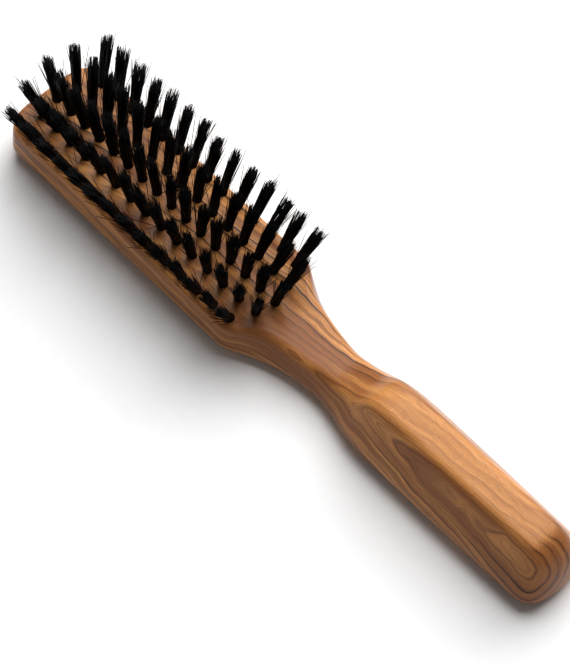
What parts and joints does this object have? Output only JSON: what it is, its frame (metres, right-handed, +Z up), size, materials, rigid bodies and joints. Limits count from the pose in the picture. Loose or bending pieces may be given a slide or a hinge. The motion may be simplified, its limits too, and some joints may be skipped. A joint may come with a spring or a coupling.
{
  "type": "hairbrush",
  "caption": "Paddle-headed vanity hairbrush carved from one piece of olive wood, with long rows of black boar bristle tufts, a waisted neck and a raised flat-topped handle.",
  "frame": {"origin": "middle of the footprint, on the plane the brush's back rests on", "axes": "+X along the brush from the head to the handle, +Z up out of the bristle face"},
  "size_m": [0.215, 0.041, 0.0289],
  "materials": {
    "olive_wood": "oiled olive wood, satin, with brown figure along the length",
    "bristle": "black natural bristle, slightly glossy",
    "staple": "plain flat wire"
  },
  "bodies": {
    "root": {"wooden_body": "olive_wood", "bristle_row_1": "bristle", "bristle_row_2": "bristle", "bristle_row_3": "bristle", "bristle_row_4": "bristle", "bristle_row_5": "bristle", "staple_row_1": "staple", "staple_row_2": "staple", "staple_row_3": "staple", "staple_row_4": "staple", "staple_row_5": "staple"}
  },
  "joints": []
}
